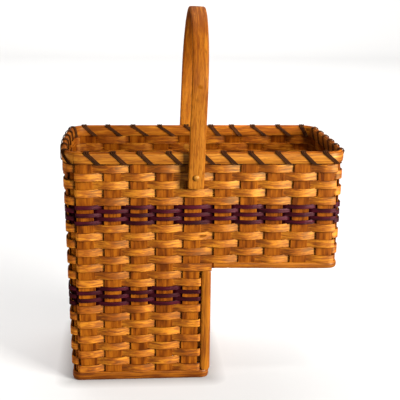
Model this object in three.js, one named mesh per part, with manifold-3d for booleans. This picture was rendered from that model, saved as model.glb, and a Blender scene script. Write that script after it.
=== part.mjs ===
// Stair basket: a flat-reed basket that sits across two steps of a staircase, with a swing handle.
// Its leg stands on the lower step and its tread rests on the upper one.
// Millimetres, +Z up. The origin is on the floor, under the middle of the basket.
// The leg is on the -X side, the front is on the -Y side.
import * as THREE from 'three';
import { mergeVertices } from 'three/addons/utils/BufferGeometryUtils.js';
import Module from 'manifold-3d';

const wasm = await Module();
wasm.setup();

// Stakes: the flat reeds that cross the base and stand up in the walls
const STAKE_WIDTH = 26;
const STAKE_THICKNESS = 1.6;
const LEG_STAKES = 5;
const TREAD_STAKES = 5;
const END_STAKES = 6;
const LEG_STAKE_GAP = 16.5;
const TREAD_STAKE_GAP = 16.8;
const END_STAKE_GAP = 11.2;
const STAKE_BEND = 5;
const BEND_FULLNESS = 0.4;

// Corners: from the edge of the last stake to the middle of the next wall, at the rim
const LEFT_MARGIN = 16.4;
const RIGHT_MARGIN = 9.5;
const END_MARGIN = 12;
const RISER_MARGIN = 14;
const STEP_MARGIN = 6;
const STEP_BEND = 3.2;
const CORNER_RADIUS = 10;
// Degrees by which the two end walls lean out towards the rim
const END_FLARE = 1;

// Weavers: the flat reeds that go round over and under the stakes
const WEAVER_WIDTH = 12.7;
const ACCENT_WIDTH = 6;
const WEAVER_THICKNESS = 1.4;
const ROW_GAP = 0.4;
const WEAVE_CLEARANCE = 0.3;
const WEAVER_LAND = 0.8;

// Rows of weaving, from the base up
const LEG_LOWER_ROWS = 9;
const LEG_ACCENT_ROWS = 5;
const LEG_UPPER_ROWS = 2;
const MIDDLE_ROWS = 5;
const ACCENT_ROWS = 5;
const TOP_ROWS = 5;

// Bands over the edges that rub on the stairs
const BASE_BAND_WIDTH = 14.8;
const BAND_THICKNESS = 2.4;
const BAND_CLEARANCE = 0.3;
const RISER_STRIP_WIDTH = 12.7;
const RISER_OVERHANG = 3.5;

// Rim: an outer and an inner hoop with a filler on top, bound by one lashing
const RIM_HEIGHT = 16;
const RIM_THICKNESS = 3.2;
const RIM_CLEARANCE = 0.3;
const FILLER_WIDTH = 4.8;
const FILLER_HEIGHT = 2.5;
const LASH_WIDTH = 8;
const LASH_THICKNESS = 1;
const LASH_CLEARANCE = 0.3;
const LASH_SLANT = 19;
const TANGENT_SHARE = 0.01;

// Handle: a bent wooden bow that swings on two riveted pins
const HANDLE_WIDTH = 25.4;
const HANDLE_THICKNESS = 6.5;
const HANDLE_EDGE = 1.4;
const HANDLE_RISE = 257;
const HANDLE_TAIL = 18;
const HANDLE_CLEARANCE = 0.5;
const HANDLE_LEAN = 1.8;
const PIN_RADIUS = 2.5;
const PIN_SHIFT = 4.4;
const PIN_HEAD_RADIUS = 5;
const PIN_HEAD_HEIGHT = 3;
const PIN_FOOT_HEIGHT = 1.5;
const PIN_RUNNING_GAP = 0.2;
const PIN_SEAT_GAP = 0.3;
const PIN_COLLAR_RADIUS = 6;

// How finely the round forms are faceted
const CORNER_STEPS = 2;
const BOW_STEPS = 16;
const ROUND_STEPS = 12;
const DOME_STEPS = 3;
const HALF_TURN_STEPS = 4;

const REED = { color: '#c07c30', roughness: 0.55, metalness: 0 };
const STAKE_REED = { color: '#b06c26', roughness: 0.55, metalness: 0 };
const PLUM_REED = { color: '#552338', roughness: 0.5, metalness: 0 };
const RIM_REED = { color: '#cf9140', roughness: 0.5, metalness: 0 };
const LASH_REED = { color: '#4a2812', roughness: 0.6, metalness: 0 };
const HANDLE_WOOD = { color: '#b36a24', roughness: 0.45, metalness: 0 };
const PIN_BRASS = { color: '#b98a3c', roughness: 0.35, metalness: 0.9 };

// Plan of the walls, measured to the middle of the stakes
const runOf = (count, gap) => count * (STAKE_WIDTH + gap) - gap;
const depth = 2 * END_MARGIN + runOf(END_STAKES, END_STAKE_GAP);
const legLength = LEFT_MARGIN + runOf(LEG_STAKES, LEG_STAKE_GAP) + RISER_MARGIN;
const length = legLength + STEP_MARGIN + runOf(TREAD_STAKES, TREAD_STAKE_GAP) + RIGHT_MARGIN;
const leftX = -length / 2;
const rightX = length / 2;
const riserX = leftX + legLength;
const frontY = -depth / 2;
const backY = depth / 2;
const crossStakes = LEG_STAKES + TREAD_STAKES;

const crossStakeX = (i) => {
  const middle = STAKE_WIDTH / 2;
  if (i < LEG_STAKES) return leftX + LEFT_MARGIN + middle + i * (STAKE_WIDTH + LEG_STAKE_GAP);
  return riserX + STEP_MARGIN + middle + (i - LEG_STAKES) * (STAKE_WIDTH + TREAD_STAKE_GAP);
};
const endStakeY = (j) => frontY + END_MARGIN + STAKE_WIDTH / 2 + j * (STAKE_WIDTH + END_STAKE_GAP);

// How far the layers stand off the middle of the wall
const weaverReach = STAKE_THICKNESS / 2 + WEAVE_CLEARANCE + WEAVER_THICKNESS / 2;
const weaverFace = weaverReach + WEAVER_THICKNESS / 2;
const plaitReach = STAKE_THICKNESS + WEAVE_CLEARANCE;
const bandReach = STAKE_THICKNESS / 2 + BAND_CLEARANCE + BAND_THICKNESS / 2;
const rimReach = STAKE_THICKNESS / 2 + RIM_CLEARANCE + RIM_THICKNESS / 2;
const lashRoom = LASH_CLEARANCE + (LASH_WIDTH / 2) * Math.sin(Math.PI / (4 * CORNER_STEPS));
const lashReach = rimReach + RIM_THICKNESS / 2 + lashRoom + LASH_THICKNESS / 2;
const lashFace = lashReach + LASH_THICKNESS / 2;
const handleReach = lashFace + HANDLE_CLEARANCE + HANDLE_THICKNESS / 2;

// Rows of weaving with their heights
const rowSets = [
  { name: 'leg_weaver', count: LEG_LOWER_ROWS, width: WEAVER_WIDTH, finish: REED, on: 'leg' },
  { name: 'leg_plum_weaver', count: LEG_ACCENT_ROWS, width: ACCENT_WIDTH, finish: PLUM_REED, on: 'leg' },
  { name: 'leg_upper_weaver', count: LEG_UPPER_ROWS, width: WEAVER_WIDTH, finish: REED, on: 'leg' },
  { name: 'step_weaver', count: 1, width: WEAVER_WIDTH, finish: REED, on: 'step' },
  { name: 'middle_weaver', count: MIDDLE_ROWS, width: WEAVER_WIDTH, finish: REED, on: 'upper' },
  { name: 'plum_weaver', count: ACCENT_ROWS, width: ACCENT_WIDTH, finish: PLUM_REED, on: 'upper' },
  { name: 'top_weaver', count: TOP_ROWS, width: WEAVER_WIDTH, finish: REED, on: 'upper' },
];
const rows = [];
let rowFoot = BASE_BAND_WIDTH + ROW_GAP;
for (const set of rowSets) {
  for (let i = 0; i < set.count; i += 1) {
    const name = set.count > 1 ? `${set.name}_${i + 1}` : set.name;
    rows.push({ ...set, name, index: rows.length, low: rowFoot, high: rowFoot + set.width });
    rowFoot += set.width + ROW_GAP;
  }
}
const stepRow = rows.find((row) => row.on === 'step');
const firstUpperRow = rows[stepRow.index + 1];
const pinRow = rows[rows.length - 2];

// Heights of the base, the tread, the rim and the pins
const baseZ = STAKE_THICKNESS / 2 + plaitReach;
const treadZ = stepRow.low + STEP_BEND + plaitReach;
const treadFaceZ = treadZ - plaitReach - STAKE_THICKNESS / 2;
const lashFootZ = rows[rows.length - 1].high + LASH_CLEARANCE + LASH_THICKNESS / 2;
const rimLow = lashFootZ + LASH_THICKNESS / 2 + LASH_CLEARANCE;
const rimHigh = rimLow + RIM_HEIGHT;
const stakeTop = rimHigh - RIM_CLEARANCE;
const fillerLow = rimHigh + RIM_CLEARANCE;
const fillerHigh = fillerLow + FILLER_HEIGHT;
const lashTopZ = fillerHigh + LASH_CLEARANCE + LASH_THICKNESS / 2;
const pinZ = (pinRow.low + pinRow.high) / 2;
const pinX = crossStakeX(LEG_STAKES - 1) + PIN_SHIFT;

// Turns a geometry's triangles outwards if its volume comes out negative
function facingOut(geometry) {
  const at = geometry.getAttribute('position');
  const index = Array.from(geometry.getIndex().array);
  const [a, b, c] = [new THREE.Vector3(), new THREE.Vector3(), new THREE.Vector3()];
  let volume = 0;
  for (let i = 0; i < index.length; i += 3) {
    a.fromBufferAttribute(at, index[i]);
    b.fromBufferAttribute(at, index[i + 1]);
    c.fromBufferAttribute(at, index[i + 2]);
    volume += a.dot(b.cross(c));
  }
  if (volume < 0) {
    index.reverse();
    geometry.setIndex(index);
  }
  return geometry;
}

// Joins sections of equally many points into one closed body
function sweep(sections, closed = false) {
  const sides = sections[0].length;
  const index = [];
  const last = closed ? sections.length : sections.length - 1;
  for (let i = 0; i < last; i += 1) {
    const here = i * sides;
    const next = ((i + 1) % sections.length) * sides;
    for (let j = 0; j < sides; j += 1) {
      const k = (j + 1) % sides;
      index.push(here + j, next + j, next + k, here + j, next + k, here + k);
    }
  }
  if (!closed) {
    const end = (sections.length - 1) * sides;
    for (let j = 1; j < sides - 1; j += 1) {
      index.push(0, j, j + 1, end, end + j + 1, end + j);
    }
  }
  const geometry = new THREE.BufferGeometry().setFromPoints(sections.flat());
  geometry.setIndex(index);
  return facingOut(geometry);
}

// Unit step to the right of a polyline at one of its points, lengthened to mitre the bend
function mitre(line, i, closed) {
  const count = line.length;
  const side = (from, to) => {
    const along = line[to].clone().sub(line[from]).normalize();
    return new THREE.Vector2(along.y, -along.x);
  };
  const hasBefore = closed || i > 0;
  const hasAfter = closed || i < count - 1;
  const before = hasBefore ? side((i + count - 1) % count, i) : side(i, i + 1);
  const after = hasAfter ? side(i, (i + 1) % count) : before;
  return before.clone().add(after).divideScalar(1 + before.dot(after));
}

// A flat strip whose edge follows a polyline, from low to high across it
function flatStrip(line, thickness, low, high, place, closed = false) {
  const sections = line.map((point, i) => {
    const shift = mitre(line, i, closed).multiplyScalar(thickness / 2);
    const outer = point.clone().add(shift);
    const inner = point.clone().sub(shift);
    return [place(outer, low), place(outer, high), place(inner, high), place(inner, low)];
  });
  return sweep(sections, closed);
}

const inPlan = (p, z) => new THREE.Vector3(p.x, p.y, z);
const acrossDepth = (p, x) => new THREE.Vector3(x, p.x, p.y);
const alongLength = (p, y) => new THREE.Vector3(p.x, y, p.y);

// The walls' middle line in plan, going front, right, back, left round the first stakes of the front, with
// round corners that leave the end stakes flat
function wallLoop(left, right, count) {
  const roomLeft = crossStakeX(0) - STAKE_WIDTH / 2 - left;
  const roomRight = right - crossStakeX(count - 1) - STAKE_WIDTH / 2;
  const rounding = (room) => Math.min(CORNER_RADIUS, Math.min(room, END_MARGIN) - WEAVER_LAND);
  const [rl, rr] = [rounding(roomLeft), rounding(roomRight)];
  const corners = [
    [right - rr, frontY + rr, -90, rr],
    [right - rr, backY - rr, 0, rr],
    [left + rl, backY - rl, 90, rl],
    [left + rl, frontY + rl, 180, rl],
  ];
  const points = [];
  for (const [x, y, from, r] of corners) {
    for (let i = 0; i <= CORNER_STEPS; i += 1) {
      const turn = THREE.MathUtils.degToRad(from + (90 * i) / CORNER_STEPS);
      points.push(new THREE.Vector2(x + r * Math.cos(turn), y + r * Math.sin(turn)));
    }
  }
  points.unshift(points.pop());
  const shifts = points.map((_, i) => mitre(points, i, true));
  const marks = [0];
  points.forEach((p, i) => marks.push(marks[i] + p.distanceTo(points[(i + 1) % points.length])));
  const total = marks[points.length];
  const sideStart = (side) => marks[side * (CORNER_STEPS + 1)];
  const cornerMiddle = (side) => marks[1 + side * (CORNER_STEPS + 1) + CORNER_STEPS / 2];
  const onFront = (x) => sideStart(0) + x - (left + rl);
  const onRight = (y) => sideStart(1) + y - (frontY + rr);
  const onBack = (x) => sideStart(2) + (right - rr) - x;
  const onLeft = (y) => sideStart(3) + (backY - rl) - y;
  const at = (distance, offset) => {
    const s = ((distance % total) + total) % total;
    let i = 0;
    while (marks[i + 1] <= s) i += 1;
    const next = (i + 1) % points.length;
    const from = points[i].clone().addScaledVector(shifts[i], offset);
    const to = points[next].clone().addScaledVector(shifts[next], offset);
    return from.lerp(to, (s - marks[i]) / (marks[i + 1] - marks[i]));
  };
  const ring = (offset) => points.map((p, i) => p.clone().addScaledVector(shifts[i], offset));
  return { marks, total, cornerMiddle, onFront, onRight, onBack, onLeft, at, ring };
}

// The end walls stand further in the further they are below the rim
const flareIn = (z) => (rimHigh - z) * Math.tan(THREE.MathUtils.degToRad(END_FLARE));
const leftAt = (z) => leftX + flareIn(z);
const rightAt = (z) => rightX - flareIn(z);
const upperLoop = (z) => wallLoop(leftAt(z), rightAt(z), crossStakes);
const legLoop = (z) => wallLoop(leftAt(z), riserX, LEG_STAKES);

// The middles of the stakes round a loop, side by side in the order of the weaving
function stakesRound(loop, frontCount) {
  const front = Array.from({ length: frontCount }, (_, i) => loop.onFront(crossStakeX(i)));
  const right = Array.from({ length: END_STAKES }, (_, j) => loop.onRight(endStakeY(j)));
  const back = Array.from({ length: frontCount }, (_, i) => loop.onBack(crossStakeX(frontCount - 1 - i)));
  const left = Array.from({ length: END_STAKES }, (_, j) => loop.onLeft(endStakeY(END_STAKES - 1 - j)));
  return [front, right, back, left];
}

// A weaver's middle line along one wall, flat where it lies over or under a stake
const weaverHalf = STAKE_WIDTH / 2 + WEAVER_LAND;
const weaverSide = (order, row) => ((order + row.index) % 2 === 0 ? weaverReach : -weaverReach);
const middleOf = (row) => (row.low + row.high) / 2;
function weaverAlong(loop, middles, firstOrder, row) {
  return middles.flatMap((s, i) => {
    const offset = weaverSide(firstOrder + i, row);
    return [loop.at(s - weaverHalf, offset), loop.at(s + weaverHalf, offset)];
  });
}

function weaverHoop(loop, frontCount, row) {
  const line = [];
  let order = 0;
  stakesRound(loop, frontCount).forEach((middles, side) => {
    line.push(...weaverAlong(loop, middles, order, row));
    line.push(loop.at(loop.cornerMiddle(side), 0));
    order += middles.length;
  });
  return flatStrip(line, WEAVER_THICKNESS, row.low, row.high, inPlan, true);
}

// The row level with the tread goes round three walls of the leg and stops at the step
function stepWeaver(row) {
  const loop = upperLoop(middleOf(row));
  const [front, right, back, left] = stakesRound(loop, crossStakes);
  const legBack = back.slice(TREAD_STAKES);
  const legFront = front.slice(0, LEG_STAKES);
  const backOrder = front.length + right.length + TREAD_STAKES;
  const leftOrder = backOrder + LEG_STAKES;
  const endX = riserX + RISER_OVERHANG;
  const line = [
    loop.at(loop.onBack(endX), weaverSide(backOrder, row)),
    ...weaverAlong(loop, legBack, backOrder, row),
    loop.at(loop.cornerMiddle(2), 0),
    ...weaverAlong(loop, left, leftOrder, row),
    loop.at(loop.cornerMiddle(3), 0),
    ...weaverAlong(loop, legFront, 0, row),
    loop.at(loop.onFront(endX), weaverSide(LEG_STAKES - 1, row)),
  ];
  return flatStrip(line, WEAVER_THICKNESS, row.low, row.high, inPlan);
}

// A quarter bend between two straight runs of a stake, in three points
function bend(x, z, towardsX, towardsZ) {
  const corner = new THREE.Vector2(x, z);
  const start = corner.clone().add(towardsX);
  const end = corner.clone().add(towardsZ);
  const middle = start.clone().add(end).lerp(corner.clone().multiplyScalar(2), BEND_FULLNESS).multiplyScalar(0.5);
  return [start, middle, end];
}
const step = (x, z) => new THREE.Vector2(x, z);

// A cross stake goes down the front, across under the basket and up the back
function crossStake(i) {
  const floor = i < LEG_STAKES ? baseZ : treadZ;
  const line = [
    step(frontY, stakeTop),
    ...bend(frontY, floor, step(0, STAKE_BEND), step(STAKE_BEND, 0)),
    ...bend(backY, floor, step(-STAKE_BEND, 0), step(0, STAKE_BEND)),
    step(backY, stakeTop),
  ];
  const x = crossStakeX(i);
  return flatStrip(line, STAKE_THICKNESS, x - STAKE_WIDTH / 2, x + STAKE_WIDTH / 2, acrossDepth);
}

// A long stake goes down the left end, along the base, up the riser, along the tread and up the right end.
// It is plaited over and under the cross stakes
function longStake(j) {
  const height = (i) => ((i + j) % 2 === 0 ? -plaitReach : plaitReach);
  const plaited = (from, to, floor) => {
    const line = [];
    for (let i = from; i < to; i += 1) {
      line.push(step(crossStakeX(i) - weaverHalf, floor + height(i)));
      line.push(step(crossStakeX(i) + weaverHalf, floor + height(i)));
    }
    return line;
  };
  const line = [
    step(leftAt(stakeTop), stakeTop),
    ...bend(leftAt(baseZ), baseZ, step(0, STAKE_BEND), step(STAKE_BEND, 0)),
    ...plaited(0, LEG_STAKES, baseZ),
    ...bend(riserX, baseZ, step(-STAKE_BEND, 0), step(0, STAKE_BEND)),
    step(riserX, treadZ + height(LEG_STAKES) - STEP_BEND),
    ...plaited(LEG_STAKES, crossStakes, treadZ),
    ...bend(rightAt(treadZ), treadZ, step(-STAKE_BEND, 0), step(0, STAKE_BEND)),
    step(rightAt(stakeTop), stakeTop),
  ];
  const y = endStakeY(j);
  return flatStrip(line, STAKE_THICKNESS, y - STAKE_WIDTH / 2, y + STAKE_WIDTH / 2, alongLength);
}

// The tread band covers the bend of the stakes round the three open edges of the tread
function treadBand() {
  const high = firstUpperRow.low - ROW_GAP;
  const loop = upperLoop((treadFaceZ + high) / 2);
  const startX = riserX + Math.max(STEP_MARGIN, RISER_OVERHANG) + BAND_CLEARANCE;
  const from = loop.onFront(startX);
  const to = loop.onBack(startX);
  const stops = [from, ...loop.marks.filter((s) => s > from && s < to), to];
  const line = stops.map((s) => loop.at(s, bandReach));
  return flatStrip(line, BAND_THICKNESS, treadFaceZ, high, inPlan);
}

// A riser strip covers the corner of the leg where the rows turn into the riser
function riserStrip(wallY) {
  const outwards = Math.sign(wallY);
  const reach = weaverFace + BAND_CLEARANCE + BAND_THICKNESS / 2;
  const y = wallY + outwards * reach;
  const right = riserX + RISER_OVERHANG;
  const line = [step(right - RISER_STRIP_WIDTH, y), step(right, y)];
  return flatStrip(line, BAND_THICKNESS, BASE_BAND_WIDTH + ROW_GAP, stepRow.low - ROW_GAP, inPlan);
}

// The lashing winds round the rim once in each gap between stakes, down outside and up inside
const rimLoop = upperLoop((rimLow + rimHigh) / 2);
const lashGaps = stakesRound(rimLoop, crossStakes).flatMap((middles, side) => {
  const between = middles.slice(1).map((s, i) => (s + middles[i]) / 2);
  return [...between, rimLoop.cornerMiddle(side)];
});

function lashStops() {
  const shoulder = rimHigh + LASH_CLEARANCE + LASH_THICKNESS / 2;
  const crown = FILLER_WIDTH / 2 + LASH_CLEARANCE;
  const stops = [];
  // Follows a straight run of the strip, with a stop at each facet of the corners that it crosses
  const run = (from, to, offset, zFrom, zTo) => {
    stops.push({ s: from, offset, z: zFrom });
    for (let turn = 0; turn < 2; turn += 1) {
      for (const mark of rimLoop.marks.slice(0, -1)) {
        const s = mark + turn * rimLoop.total;
        if (s <= from || s >= to) continue;
        stops.push({ s, offset, z: zFrom + ((zTo - zFrom) * (s - from)) / (to - from) });
      }
    }
    stops.push({ s: to, offset, z: zTo });
  };
  lashGaps.forEach((gap, i) => {
    const isLast = i === lashGaps.length - 1;
    const next = isLast ? lashGaps[0] + rimLoop.total : lashGaps[i + 1];
    run(gap, next - LASH_SLANT, -lashReach, lashFootZ, shoulder);
    stops.push({ s: next - LASH_SLANT, offset: -crown, z: lashTopZ });
    stops.push({ s: next - LASH_SLANT, offset: crown, z: lashTopZ });
    run(next - LASH_SLANT, next, lashReach, shoulder, lashFootZ);
  });
  return stops;
}

// Outside, the strip lies straight across a corner's facets; inside, its edges follow them
function lashEdge(s, offset, along) {
  if (offset < 0) return rimLoop.at(s + along, offset);
  const reach = LASH_WIDTH * TANGENT_SHARE;
  const across = rimLoop.at(s + reach, offset).sub(rimLoop.at(s - reach, offset)).normalize();
  return rimLoop.at(s, offset).addScaledVector(across, along);
}

function lashSections() {
  const stops = lashStops();
  const line = stops.map(({ offset, z }) => step(offset, z));
  return stops.map(({ s, offset, z }, i) => {
    const shift = mitre(line, i, false).multiplyScalar(LASH_THICKNESS / 2);
    const corner = (along, out) => {
      const p = lashEdge(s, offset + out * shift.x, (along * LASH_WIDTH) / 2);
      return inPlan(p, z + out * shift.y);
    };
    return [corner(-1, 1), corner(1, 1), corner(1, -1), corner(-1, -1)];
  });
}

// Least distance between two stretches of the lashing that are half a turn or more apart
function leastGap(sections, apart) {
  let least = Infinity;
  sections.forEach((section, i) => {
    for (let k = i + apart; k < sections.length; k += 1) {
      for (const p of section) {
        for (const q of sections[k]) least = Math.min(least, p.distanceTo(q));
      }
    }
  });
  return least;
}

// A body turned about the Y axis, from pairs of radius and distance along the axis
function turned(profile) {
  const points = profile.map(([radius, along]) => new THREE.Vector2(radius, along));
  const lathe = new THREE.LatheGeometry(points, ROUND_STEPS);
  lathe.deleteAttribute('normal');
  lathe.deleteAttribute('uv');
  const merged = mergeVertices(lathe);
  const index = Array.from(merged.getIndex().array);
  const kept = [];
  for (let i = 0; i < index.length; i += 3) {
    const [a, b, c] = index.slice(i, i + 3);
    if (a !== b && b !== c && c !== a) kept.push(a, b, c);
  }
  merged.setIndex(kept);
  return facingOut(merged);
}

function toSolid(geometry) {
  return new wasm.Manifold(new wasm.Mesh({
    numProp: 3,
    vertProperties: Float32Array.from(geometry.getAttribute('position').array),
    triVerts: Uint32Array.from(geometry.getIndex().array),
  }));
}

function toGeometry(solid) {
  const mesh = solid.getMesh();
  const geometry = new THREE.BufferGeometry();
  geometry.setAttribute('position', new THREE.BufferAttribute(mesh.vertProperties, 3));
  geometry.setIndex(Array.from(mesh.triVerts));
  return geometry;
}

// Drills a round hole along Y through a piece
function drilled(geometry, radius, x, fromY, toY, z) {
  const drill = turned([[0, fromY], [radius, fromY], [radius, toY], [0, toY]]);
  drill.translate(x, 0, z);
  return toGeometry(toSolid(geometry).subtract(toSolid(drill)));
}

// The bow of the handle round the pin's axis: two straight legs and a half circle over the top
function handleBow() {
  const span = depth / 2 + handleReach;
  const bowZ = HANDLE_RISE - HANDLE_THICKNESS / 2 - span;
  const line = [step(-span, -HANDLE_TAIL)];
  for (let i = 0; i <= BOW_STEPS; i += 1) {
    const turn = Math.PI * (1 - i / BOW_STEPS);
    line.push(step(span * Math.cos(turn), bowZ + span * Math.sin(turn)));
  }
  line.push(step(span, -HANDLE_TAIL));
  const [t, w] = [HANDLE_THICKNESS / 2, HANDLE_WIDTH / 2];
  const [tIn, wIn] = [t - HANDLE_EDGE, w - HANDLE_EDGE];
  const outline = [[t, -wIn], [t, wIn], [tIn, w], [-tIn, w], [-t, wIn], [-t, -wIn], [-tIn, -w], [tIn, -w]];
  const sections = line.map((point, i) => outline.map(([out, across]) => {
    const p = point.clone().addScaledVector(mitre(line, i, false), out);
    return acrossDepth(p, across);
  }));
  const hole = PIN_RADIUS + PIN_RUNNING_GAP;
  const far = span + HANDLE_THICKNESS;
  return drilled(sweep(sections), hole, 0, -far, far, 0);
}

// A pin: a domed head outside the handle, a collar that keeps the handle's leg clear of the lashed rim, a shank
// through handle and wall, and a peened foot inside the wall, on the stake or on the row that lies inside it
function pivotPin(order) {
  const head = handleReach + HANDLE_THICKNESS / 2 + PIN_SEAT_GAP;
  const innerFace = weaverSide(order, pinRow) > 0 ? STAKE_THICKNESS / 2 : weaverFace;
  const seat = -innerFace - PIN_SEAT_GAP;
  const collarLow = weaverFace + PIN_SEAT_GAP;
  const collarHigh = handleReach - HANDLE_THICKNESS / 2 - PIN_SEAT_GAP;
  const profile = [
    [0, seat - PIN_FOOT_HEIGHT],
    [PIN_HEAD_RADIUS, seat - PIN_FOOT_HEIGHT],
    [PIN_HEAD_RADIUS, seat],
    [PIN_RADIUS, seat],
    [PIN_RADIUS, collarLow],
    [PIN_COLLAR_RADIUS, collarLow],
    [PIN_COLLAR_RADIUS, collarHigh],
    [PIN_RADIUS, collarHigh],
    [PIN_RADIUS, head],
  ];
  for (let i = 0; i <= DOME_STEPS; i += 1) {
    const rise = (Math.PI / 2) * (i / DOME_STEPS);
    const radius = i === DOME_STEPS ? 0 : PIN_HEAD_RADIUS * Math.cos(rise);
    profile.push([radius, head + PIN_HEAD_HEIGHT * Math.sin(rise)]);
  }
  return turned(profile);
}

const basket = new THREE.Group();
basket.name = 'stair_basket';
const pinHole = PIN_RADIUS + PIN_SEAT_GAP;
const farY = depth / 2 + handleReach;
const pinned = (geometry) => drilled(geometry, pinHole, pinX, -farY, farY, pinZ);

function add(name, geometry, finish, parent = basket) {
  const mesh = new THREE.Mesh(geometry, new THREE.MeshStandardMaterial(finish));
  mesh.name = name;
  parent.add(mesh);
  return mesh;
}

for (let i = 0; i < crossStakes; i += 1) {
  const stake = crossStake(i);
  const isPinned = i === LEG_STAKES - 1;
  add(`cross_stake_${i + 1}`, isPinned ? pinned(stake) : stake, STAKE_REED);
}
for (let j = 0; j < END_STAKES; j += 1) {
  add(`long_stake_${j + 1}`, longStake(j), STAKE_REED);
}

for (const row of rows) {
  const hoops = {
    leg: () => weaverHoop(legLoop(middleOf(row)), LEG_STAKES, row),
    step: () => stepWeaver(row),
    upper: () => weaverHoop(upperLoop(middleOf(row)), crossStakes, row),
  };
  const hoop = hoops[row.on]();
  add(row.name, row === pinRow ? pinned(hoop) : hoop, row.finish);
}

const baseLine = legLoop(BASE_BAND_WIDTH / 2).ring(bandReach);
add('base_band', flatStrip(baseLine, BAND_THICKNESS, 0, BASE_BAND_WIDTH, inPlan, true), RIM_REED);
add('tread_band', treadBand(), RIM_REED);
add('riser_strip_front', riserStrip(frontY), RIM_REED);
add('riser_strip_back', riserStrip(backY), RIM_REED);

const rimHoop = (reach) => flatStrip(rimLoop.ring(reach), RIM_THICKNESS, rimLow, rimHigh, inPlan, true);
add('outer_rim', rimHoop(rimReach), RIM_REED);
add('inner_rim', rimHoop(-rimReach), RIM_REED);
const filler = flatStrip(rimLoop.ring(0), FILLER_WIDTH, fillerLow, fillerHigh, inPlan, true);
add('rim_filler', filler, RIM_REED);
const lashing = lashSections();
console.log(`rim lashing: least gap to itself ${leastGap(lashing, HALF_TURN_STEPS).toFixed(2)} mm`);
add('rim_lashing', sweep(lashing), LASH_REED);

// The pins stand on one axis, square to the front and the back wall
const pinOrder = LEG_STAKES - 1;
const backPinOrder = crossStakes + END_STAKES + TREAD_STAKES;
for (const [side, wallY, turn, order] of [
  ['front', frontY, Math.PI, pinOrder],
  ['back', backY, 0, backPinOrder],
]) {
  const pin = add(`pivot_pin_${side}`, pivotPin(order), PIN_BRASS);
  pin.position.set(pinX, wallY, pinZ);
  pin.rotation.x = turn;
}

// The handle leans a little to the right, as it was left
const swing = new THREE.Group();
swing.position.set(pinX, 0, pinZ);
swing.rotation.y = THREE.MathUtils.degToRad(HANDLE_LEAN);
basket.add(swing);
add('handle', handleBow(), HANDLE_WOOD, swing);

export default basket;
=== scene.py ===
import math
from functools import lru_cache

import bpy
import numpy as np
from mathutils import Matrix, Vector


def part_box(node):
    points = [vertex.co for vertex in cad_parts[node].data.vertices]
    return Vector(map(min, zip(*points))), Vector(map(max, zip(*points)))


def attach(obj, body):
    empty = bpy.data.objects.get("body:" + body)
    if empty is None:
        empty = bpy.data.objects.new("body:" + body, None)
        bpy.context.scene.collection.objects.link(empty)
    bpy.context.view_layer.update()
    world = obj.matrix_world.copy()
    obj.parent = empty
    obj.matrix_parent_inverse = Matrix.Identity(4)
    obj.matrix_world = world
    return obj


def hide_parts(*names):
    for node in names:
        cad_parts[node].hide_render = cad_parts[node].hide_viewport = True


# Stair basket: reeds, rims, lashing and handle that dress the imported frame.
# Sizes are in millimetres, and places are read from the frame.
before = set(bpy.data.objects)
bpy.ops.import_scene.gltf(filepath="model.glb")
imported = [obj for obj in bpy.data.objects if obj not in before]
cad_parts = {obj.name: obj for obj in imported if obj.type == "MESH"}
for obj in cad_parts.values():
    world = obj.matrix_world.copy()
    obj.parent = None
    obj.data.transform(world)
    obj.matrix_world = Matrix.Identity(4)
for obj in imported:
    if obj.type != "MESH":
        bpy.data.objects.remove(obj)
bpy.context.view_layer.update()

MM = 0.001
rng = np.random.default_rng(20)

# Reed stock
STAKE_WIDTH = 27.0
STAKE_THICKNESS = 1.9
STAKE_CROWN = 0.1
# Edge darkening, part staining and part painted shade between rows
STAKE_EDGE_DARKENING = 0.8
WEAVER_THICKNESS = 1.9
WEAVER_CROWN = 0.05
# Edge darkening, part staining and part painted shade between rows
WEAVER_EDGE_DARKENING = 0.97
WEAVER_REACH = ([-1.0, 0.0, 1.0], [4.0, 3.3, 2.6])
WEAVER_FACE = 2.5
# Painted shade on the faces towards the inside of the basket
WEAVER_INNER_PAINTED_SHADE = 0.46
STAKE_INNER_PAINTED_SHADE = 0.95
RIM_INNER_PAINTED_SHADE = 0.5
WEAVER_WANDER = 0.2
WEAVER_SINK = 1.0
DIVE_PLAY = 1.2
STAKE_PLAY = 0.5
WEAVER_PACKING = 0.9
PLUM_PACKING = 0.7
FAR_PACKING = 1.5
FAR_PLUM_PACKING = 1.8
TUCKED_PACKING = 2.0
BACK_CORNER_CLOSING = 0.75
FLAT_OVER_STAKE = 1.0
FLAT_UNDER_STAKE = 6.0
CORNER_DIVE = {1.0: (12.0, 18.0), -1.0: (13.0, 31.0)}
# Painted shade where a row tucks in behind a stake or at a corner
TUCK_PAINTED_SHADE = 0.95
CORNER_PAINTED_SHADE = 0.57

# Walls: the corners get rounder and the ends bow out towards the rim
WALL_STAKE = 0.8
RISER_CORNER = 10.0
FOOT_CORNER = 10.5
RIM_CORNER_LEFT = 27.0
RIM_CORNER_RIGHT = 24.0
END_BOW_LEFT = 7.0
END_BOW_RIGHT = 2.5
END_SKEW_RIGHT = 0.02
BAND_REACH = 2.3
BAND_THICKNESS = 2.6
END_GAP = 0.2
RIM_REACH = 2.7
RIM_THICKNESS = 2.2
RIM_CROWN = 1.1
FILLER_HALF_HEIGHT = 1.7
FILLER_HALF_WIDTH = 2.9
FILLER_SINK = 1.3
RIM_TUCK = 1.1
RIM_SEAM = -205.0
TREAD_SAG = 2.6
STEP_CLOSING = 3.4
STEP_ROW_REACH = 1.6
# A painted shadow for the slit at the end of the step row: its length over the tread band and how much darker
# it is
STEP_SLIT = 3.4
STEP_SLIT_PAINTED_SHADE = 4.0
RISER_STRIP_EASE = 3.4
RISER_STRIP_DEPTH = 3.0
RISER_STRIP_INSET = 1.0
RISER_STRIP_SHIFT = 0.7

# Plait of the base and the tread
PLAIT_REACH = 1.9
PLAIT_HALF = 13.8
STEP_BEND = 3.2

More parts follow.
